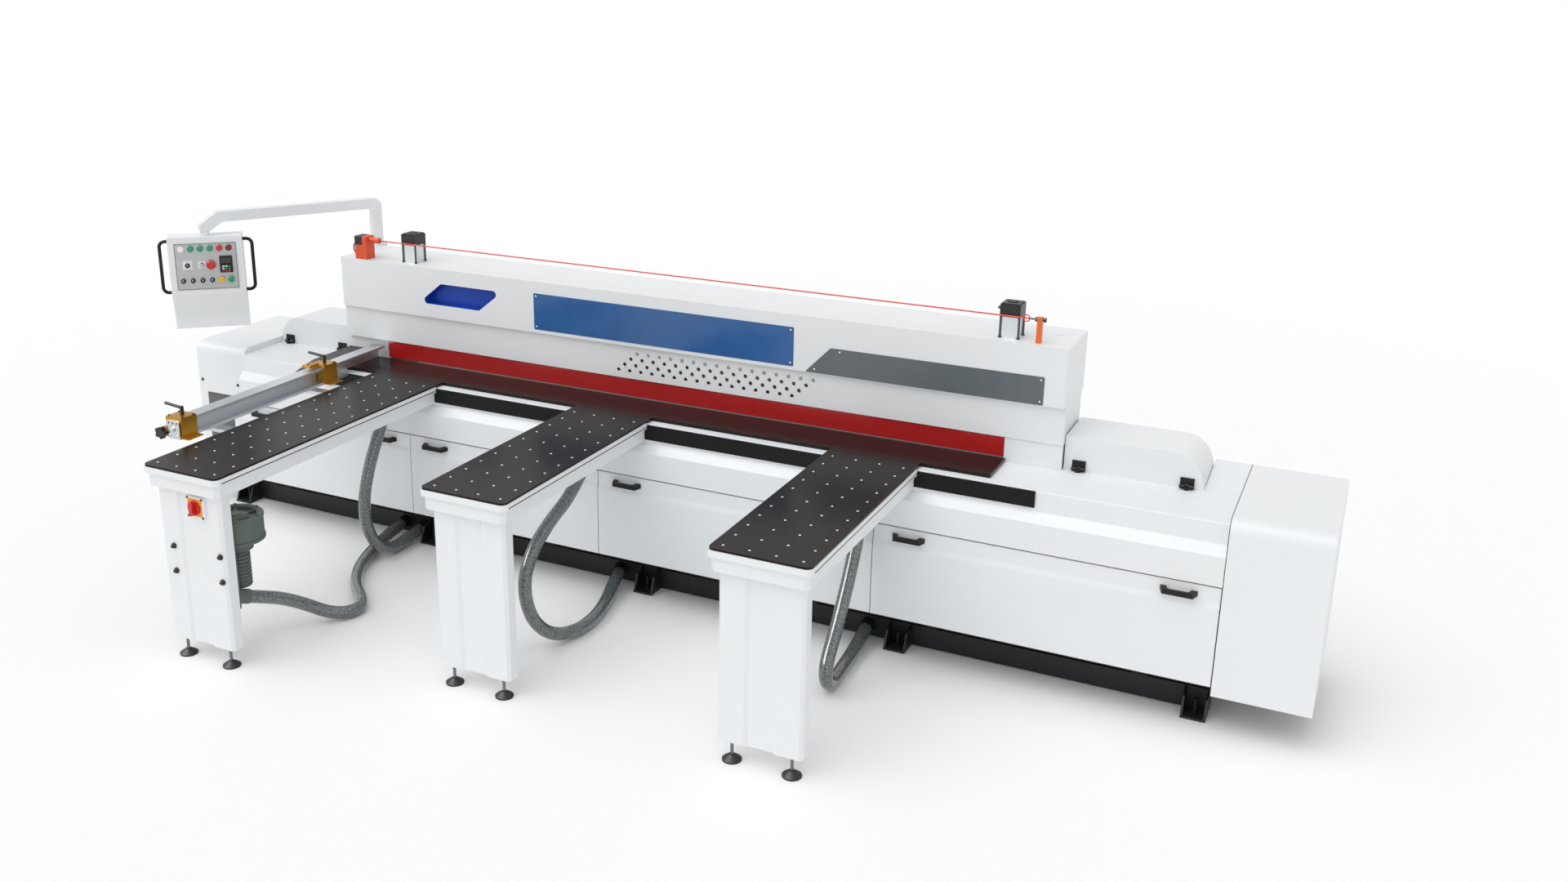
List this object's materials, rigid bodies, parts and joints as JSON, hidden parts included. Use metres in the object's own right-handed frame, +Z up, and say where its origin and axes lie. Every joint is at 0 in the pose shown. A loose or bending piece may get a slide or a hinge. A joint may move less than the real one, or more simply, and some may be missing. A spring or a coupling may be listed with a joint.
{
  "type": "cnc beam saw",
  "caption": "Panel cutting saw with a travelling blade under a slotted table, a clamping beam above it, air tables in front and a swivelling control pendant.",
  "frame": {"origin": "on the floor, under the middle of the machine", "axes": "+X along the beam to the operator's right, +Y from the operator to the back, +Z up"},
  "size_m": [5.4, 1.992, 1.567],
  "materials": {
    "white_paint": "satin powder coat",
    "black_paint": "satin",
    "dark_laminate": "polished",
    "zinc_steel": "plain",
    "ground_steel": "ground",
    "aluminium": "anodised",
    "gold_anodised": "anodised",
    "grey_casting": "semi-gloss",
    "clear_hose": "glossy",
    "orange_plastic": "satin",
    "red_sheet": "glossy",
    "red_plastic": "glossy",
    "dark_red_plastic": "glossy",
    "yellow_plastic": "glossy",
    "green_plastic": "glossy",
    "black_plastic": "satin"
  },
  "bodies": {
    "machine": {"base_frame": "black_paint", "body_frame": "black_paint", "levelling_feet": "zinc_steel", "front_panel": "white_paint", "deck_plate": "white_paint", "rear_panel": "white_paint", "main_table": "dark_laminate", "end_covers": "white_paint", "guide_rails": "ground_steel", "gantry_frame": "white_paint", "upper_cover": "white_paint", "lower_cover": "white_paint", "clamp_cylinders": "aluminium", "rope_fittings": "orange_plastic", "extension_tops": "dark_laminate", "extension_frames": "white_paint", "fence": "aluminium", "blower": "grey_casting", "left_hose": "clear_hose", "middle_hose": "clear_hose", "right_hose": "clear_hose", "blower_hose": "clear_hose"},
    "door_1": {"door_1": "white_paint"},
    "door_2": {"door_2": "white_paint"},
    "door_3": {"door_3": "white_paint"},
    "door_4": {"door_4": "white_paint"},
    "right_hump_cover": {"right_hump_cover": "white_paint"},
    "left_hump_cover": {"left_hump_cover": "white_paint"},
    "curtain": {"curtain": "red_sheet"},
    "pressure_beam": {"pressure_beam": "ground_steel"},
    "pull_rope": {"pull_rope": "orange_plastic"},
    "carriage": {"carriage": "ground_steel"},
    "feed_pinion": {"feed_pinion": "ground_steel"},
    "saw_unit": {"saw_unit": "grey_casting"},
    "scoring_unit": {"scoring_unit": "grey_casting"},
    "main_blade": {"main_blade": "ground_steel"},
    "motor_pulley": {"motor_pulley": "ground_steel"},
    "scoring_blade": {"scoring_blade": "ground_steel"},
    "switch_knob": {"switch_knob": "red_plastic"},
    "front_stop": {"front_stop": "gold_anodised"},
    "rear_stop": {"rear_stop": "gold_anodised"},
    "front_stop_lever": {"front_stop_lever": "black_plastic"},
    "rear_stop_lever": {"rear_stop_lever": "black_plastic"},
    "star_knob": {"star_knob": "black_plastic"},
    "pendant_arm": {"pendant_arm": "white_paint"},
    "pendant_box": {"pendant_box": "white_paint"},
    "green_button_1": {"green_button_1": "green_plastic"},
    "green_button_2": {"green_button_2": "green_plastic"},
    "green_button_3": {"green_button_3": "green_plastic"},
    "red_button": {"red_button": "red_plastic"},
    "dark_red_button": {"dark_red_button": "dark_red_plastic"},
    "yellow_button": {"yellow_button": "yellow_plastic"},
    "green_button_4": {"green_button_4": "green_plastic"},
    "emergency_button": {"emergency_button": "red_plastic"},
    "mode_selector": {"mode_selector": "black_plastic"},
    "selector_1": {"selector_1": "black_plastic"},
    "selector_2": {"selector_2": "black_plastic"},
    "selector_3": {"selector_3": "black_plastic"},
    "selector_4": {"selector_4": "black_plastic"},
    "speed_knob": {"speed_knob": "black_plastic"}
  },
  "joints": [
    {"name": "door_1_turn", "type": "hinge", "parent": "machine", "child": "door_1", "pos_m": [1.674, 0.366, 0.178], "axis": [1, 0, 0], "range_deg": [0, 60]},
    {"name": "door_2_turn", "type": "hinge", "parent": "machine", "child": "door_2", "pos_m": [0.3565, 0.366, 0.178], "axis": [1, 0, 0], "range_deg": [0, 4]},
    {"name": "door_3_turn", "type": "hinge", "parent": "machine", "child": "door_3", "pos_m": [-0.8065, 0.366, 0.178], "axis": [1, 0, 0], "range_deg": [0, 60]},
    {"name": "door_4_turn", "type": "hinge", "parent": "machine", "child": "door_4", "pos_m": [-1.8515, 0.366, 0.178], "axis": [1, 0, 0], "range_deg": [0, 12]},
    {"name": "right_hump_cover_turn", "type": "hinge", "parent": "machine", "child": "right_hump_cover", "pos_m": [1.9395, 0.668, 0.834], "axis": [1, 0, 0], "range_deg": [0, 80]},
    {"name": "left_hump_cover_turn", "type": "hinge", "parent": "machine", "child": "left_hump_cover", "pos_m": [-2.15, 0.668, 0.834], "axis": [1, 0, 0], "range_deg": [0, 80]},
    {"name": "curtain_turn", "type": "hinge", "parent": "machine", "child": "curtain", "pos_m": [-0.115, 0.657, 0.932], "axis": [1, 0, 0], "range_deg": [-20, 40]},
    {"name": "pressure_beam_slide", "type": "slide", "parent": "machine", "child": "pressure_beam", "axis": [0, 0, -1], "range_m": [0, 0.09]},
    {"name": "pull_rope_slide", "type": "slide", "parent": "machine", "child": "pull_rope", "axis": [1, 0, 0], "range_m": [0, 0.006], "stiffness_N_per_m": 2000},
    {"name": "carriage_slide", "type": "slide", "parent": "machine", "child": "carriage", "axis": [-1, 0, 0], "range_m": [0, 4.056]},
    {"name": "feed_pinion_turn", "type": "hinge", "parent": "carriage", "child": "feed_pinion", "pos_m": [1.825, 0.5535, 0.33], "axis": [0, 0, 1], "range_deg": [-10, 5600]},
    {"name": "saw_unit_slide", "type": "slide", "parent": "carriage", "child": "saw_unit", "axis": [0, 0, 1], "range_m": [0, 0.088]},
    {"name": "scoring_unit_slide", "type": "slide", "parent": "carriage", "child": "scoring_unit", "axis": [0, 0, 1], "range_m": [0, 0.028]},
    {"name": "main_blade_turn", "type": "hinge", "parent": "saw_unit", "child": "main_blade", "pos_m": [1.975, 0.76, 0.637], "axis": [0, 1, 0], "continuous": true},
    {"name": "motor_pulley_turn", "type": "hinge", "parent": "saw_unit", "child": "motor_pulley", "pos_m": [2.225, 0.83, 0.56], "axis": [0, 1, 0], "continuous": true},
    {"name": "scoring_blade_turn", "type": "hinge", "parent": "scoring_unit", "child": "scoring_blade", "pos_m": [1.735, 0.76, 0.752], "axis": [0, 1, 0], "continuous": true},
    {"name": "switch_knob_turn", "type": "hinge", "parent": "machine", "child": "switch_knob", "pos_m": [-1.32, -0.98, 0.69], "axis": [0, -1, 0], "range_deg": [0, 90]},
    {"name": "front_stop_slide", "type": "slide", "parent": "machine", "child": "front_stop", "axis": [0, 1, 0], "range_m": [0, 0.45]},
    {"name": "rear_stop_slide", "type": "slide", "parent": "machine", "child": "rear_stop", "axis": [0, 1, 0], "range_m": [-0.25, 0.09]},
    {"name": "front_stop_lever_turn", "type": "hinge", "parent": "front_stop", "child": "front_stop_lever", "pos_m": [-1.707, -0.634, 0.92], "axis": [0, 0, 1], "range_deg": [-90, 90]},
    {"name": "rear_stop_lever_turn", "type": "hinge", "parent": "rear_stop", "child": "rear_stop_lever", "pos_m": [-1.707, 0.24, 0.92], "axis": [0, 0, 1], "range_deg": [-90, 90]},
    {"name": "star_knob_turn", "type": "hinge", "parent": "front_stop", "child": "star_knob", "pos_m": [-1.784, -0.68, 0.838], "axis": [0, -1, 0], "continuous": true},
    {"name": "pendant_arm_turn", "type": "hinge", "parent": "machine", "child": "pendant_arm", "pos_m": [-1.945, 0.955, 1.4], "axis": [0, 0, 1], "range_deg": [-60, 30]},
    {"name": "pendant_box_turn", "type": "hinge", "parent": "pendant_arm", "child": "pendant_box", "pos_m": [-2.397, 0.241, 1.45], "axis": [0, 0, 1], "range_deg": [-60, 60]},
    {"name": "green_button_1_slide", "type": "slide", "parent": "pendant_box", "child": "green_button_1", "axis": [-0.6561, 0.7547, 0], "range_m": [0, 0.004], "stiffness_N_per_m": 400},
    {"name": "green_button_2_slide", "type": "slide", "parent": "pendant_box", "child": "green_button_2", "axis": [-0.6561, 0.7547, 0], "range_m": [0, 0.004], "stiffness_N_per_m": 400},
    {"name": "green_button_3_slide", "type": "slide", "parent": "pendant_box", "child": "green_button_3", "axis": [-0.6561, 0.7547, 0], "range_m": [0, 0.004], "stiffness_N_per_m": 400},
    {"name": "red_button_slide", "type": "slide", "parent": "pendant_box", "child": "red_button", "axis": [-0.6561, 0.7547, 0], "range_m": [0, 0.004], "stiffness_N_per_m": 400},
    {"name": "dark_red_button_slide", "type": "slide", "parent": "pendant_box", "child": "dark_red_button", "axis": [-0.6561, 0.7547, 0], "range_m": [0, 0.004], "stiffness_N_per_m": 400},
    {"name": "yellow_button_slide", "type": "slide", "parent": "pendant_box", "child": "yellow_button", "axis": [-0.6561, 0.7547, 0], "range_m": [0, 0.004], "stiffness_N_per_m": 400},
    {"name": "green_button_4_slide", "type": "slide", "parent": "pendant_box", "child": "green_button_4", "axis": [-0.6561, 0.7547, 0], "range_m": [0, 0.004], "stiffness_N_per_m": 400},
    {"name": "emergency_button_slide", "type": "slide", "parent": "pendant_box", "child": "emergency_button", "axis": [-0.6561, 0.7547, 0], "range_m": [0, 0.005], "stiffness_N_per_m": 800},
    {"name": "mode_selector_turn", "type": "hinge", "parent": "pendant_box", "child": "mode_selector", "pos_m": [-2.4291, 0.14684, 1.323], "axis": [0.6561, -0.7547, 0], "range_deg": [-45, 45]},
    {"name": "selector_1_turn", "type": "hinge", "parent": "pendant_box", "child": "selector_1", "pos_m": [-2.44797, 0.13044, 1.248], "axis": [0.6561, -0.7547, 0], "range_deg": [-45, 45]},
    {"name": "selector_2_turn", "type": "hinge", "parent": "pendant_box", "child": "selector_2", "pos_m": [-2.41476, 0.15931, 1.248], "axis": [0.6561, -0.7547, 0], "range_deg": [-45, 45]},
    {"name": "selector_3_turn", "type": "hinge", "parent": "pendant_box", "child": "selector_3", "pos_m": [-2.38156, 0.18818, 1.248], "axis": [0.6561, -0.7547, 0], "range_deg": [-45, 45]},
    {"name": "selector_4_turn", "type": "hinge", "parent": "pendant_box", "child": "selector_4", "pos_m": [-2.34835, 0.21704, 1.248], "axis": [0.6561, -0.7547, 0], "range_deg": [-45, 45]},
    {"name": "speed_knob_turn", "type": "hinge", "parent": "pendant_box", "child": "speed_knob", "pos_m": [-2.38005, 0.18949, 1.323], "axis": [0.6561, -0.7547, 0], "range_deg": [-135, 135]}
  ],
  "couplings": [
    {"joint": "motor_pulley_turn", "follows": "main_blade_turn", "ratio": 0.8},
    {"joint": "feed_pinion_turn", "follows": "carriage_slide", "rad_per_m": 23.81}
  ]
}
